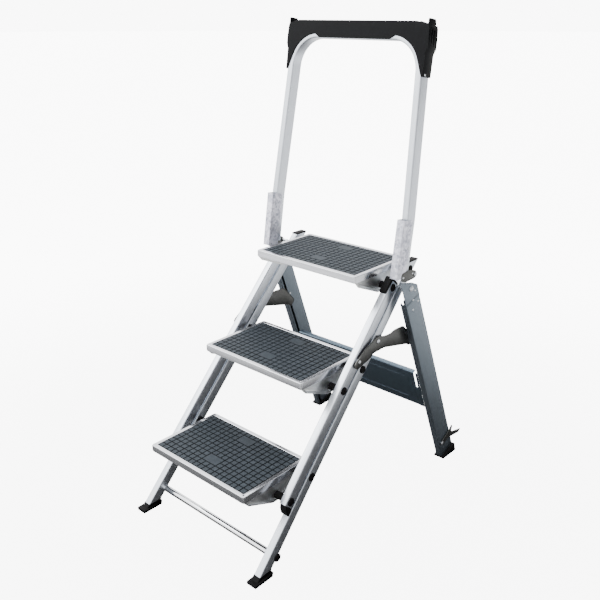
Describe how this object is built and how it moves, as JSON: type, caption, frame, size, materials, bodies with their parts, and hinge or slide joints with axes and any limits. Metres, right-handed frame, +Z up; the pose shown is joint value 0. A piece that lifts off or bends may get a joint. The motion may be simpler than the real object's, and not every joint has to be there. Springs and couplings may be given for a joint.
{
  "type": "step stool",
  "caption": "Folding aluminium step stool with ribbed rubber treads, rear support legs, a tall handrail frame and a moulded tool tray",
  "frame": {"origin": "on the floor, under the middle of the open object", "axes": "+Z up, the user climbs towards +Y, +X is to the right of someone climbing"},
  "size_m": [0.5554, 0.9136, 1.3223],
  "materials": {
    "satin_aluminium": "satin extruded aluminium",
    "leg_aluminium": "brushed blue-grey aluminium",
    "zinc_steel": "dark zinc-plated pressed steel",
    "chrome": "polished chrome",
    "black_rubber": "black moulded rubber and nylon",
    "tread_rubber": "dark blue-grey ribbed rubber",
    "black_plastic": "black moulded plastic with a fine grain"
  },
  "bodies": {
    "main_frame": {"main_rail_left": "satin_aluminium", "main_rail_right": "satin_aluminium", "main_foot_left": "black_rubber", "main_foot_right": "black_rubber", "main_cap_left": "black_rubber", "main_cap_right": "black_rubber", "tie_bar": "chrome", "tie_plug_left": "black_rubber", "tie_plug_right": "black_rubber", "leg_bolt_left": "zinc_steel", "leg_bolt_right": "zinc_steel", "hand_pin_left": "zinc_steel", "hand_pin_right": "zinc_steel"},
    "tread_low_body": {"tread_low": "satin_aluminium", "tread_mat_low": "tread_rubber", "main_pin_low_left": "black_rubber", "main_pin_low_right": "black_rubber", "front_pin_low_left": "black_rubber", "front_pin_low_right": "black_rubber"},
    "tread_mid_body": {"tread_mid": "satin_aluminium", "tread_mat_mid": "tread_rubber", "main_pin_mid_left": "black_rubber", "main_pin_mid_right": "black_rubber", "front_pin_mid_left": "black_rubber", "front_pin_mid_right": "black_rubber"},
    "tread_top_body": {"tread_top": "satin_aluminium", "tread_mat_top": "tread_rubber", "main_pin_top_left": "black_rubber", "main_pin_top_right": "black_rubber", "front_pin_top_left": "black_rubber", "front_pin_top_right": "black_rubber"},
    "front_rails": {"front_rail_left": "satin_aluminium", "front_rail_right": "satin_aluminium", "front_stop_left": "black_rubber", "front_stop_right": "black_rubber", "front_cap_left": "black_rubber", "front_cap_right": "black_rubber"},
    "braces": {"brace_left": "zinc_steel", "brace_right": "zinc_steel", "brace_rivet_main_left": "zinc_steel", "brace_rivet_main_right": "zinc_steel", "brace_rivet_front_left": "zinc_steel", "brace_rivet_front_right": "zinc_steel"},
    "rear_frame": {"rear_leg_left": "leg_aluminium", "rear_leg_right": "leg_aluminium", "rear_foot_left": "black_rubber", "rear_foot_right": "black_rubber", "cross_panel": "leg_aluminium", "latch_pin": "zinc_steel"},
    "sliders": {"slider_left": "tread_rubber", "slider_right": "tread_rubber"},
    "handrail_body": {"handrail": "satin_aluminium", "tool_tray": "black_plastic", "bracket_left": "satin_aluminium", "bracket_right": "satin_aluminium", "hinge_plate_left": "zinc_steel", "hinge_plate_right": "zinc_steel"},
    "latch_body": {"latch": "zinc_steel"}
  },
  "joints": [
    {"name": "rear_frame_fold", "type": "hinge", "parent": "main_frame", "child": "rear_frame", "pos_m": [0, 0.1477, 0.632], "axis": [-1, 0, 0], "range_deg": [0, 53]},
    {"name": "tread_low_fold", "type": "hinge", "parent": "main_frame", "child": "tread_low_body", "pos_m": [0, -0.2349, 0.2116], "axis": [-1, 0, 0], "range_deg": [0, 105.16]},
    {"name": "tread_mid_fold", "type": "hinge", "parent": "main_frame", "child": "tread_mid_body", "pos_m": [0, -0.0239, 0.4416], "axis": [-1, 0, 0], "range_deg": [0, 105.16]},
    {"name": "tread_top_fold", "type": "hinge", "parent": "main_frame", "child": "tread_top_body", "pos_m": [0, 0.1871, 0.6716], "axis": [-1, 0, 0], "range_deg": [0, 105.16]},
    {"name": "front_rails_swing", "type": "hinge", "parent": "tread_mid_body", "child": "front_rails", "pos_m": [0, -0.10494, 0.40874], "axis": [1, 0, 0], "range_deg": [0, 105.16]},
    {"name": "brace_fold", "type": "hinge", "parent": "main_frame", "child": "braces", "pos_m": [0, 0.03517, 0.50599], "axis": [-1, 0, 0], "range_deg": [0, 105.16]},
    {"name": "slider_swing", "type": "hinge", "parent": "braces", "child": "sliders", "pos_m": [0, 0.18437, 0.46929], "axis": [1, 0, 0], "range_deg": [0, 52.16]},
    {"name": "handrail_fold", "type": "hinge", "parent": "main_frame", "child": "handrail_body", "pos_m": [0, 0.1682, 0.668], "axis": [-1, 0, 0], "range_deg": [0, 34.25]},
    {"name": "latch_swing", "type": "hinge", "parent": "rear_frame", "child": "latch_body", "pos_m": [0.27, 0.3505, 0.0582], "axis": [-1, 0, 0], "range_deg": [-110, 20]}
  ],
  "couplings": [
    {"joint": "tread_low_fold", "follows": "rear_frame_fold", "ratio": 1.9842},
    {"joint": "tread_mid_fold", "follows": "rear_frame_fold", "ratio": 1.9842},
    {"joint": "tread_top_fold", "follows": "rear_frame_fold", "ratio": 1.9842},
    {"joint": "front_rails_swing", "follows": "rear_frame_fold", "ratio": 1.9842},
    {"joint": "brace_fold", "follows": "rear_frame_fold", "ratio": 1.9842},
    {"joint": "slider_swing", "follows": "rear_frame_fold", "ratio": 0.9842},
    {"joint": "handrail_fold", "follows": "rear_frame_fold", "ratio": 0.6462}
  ]
}
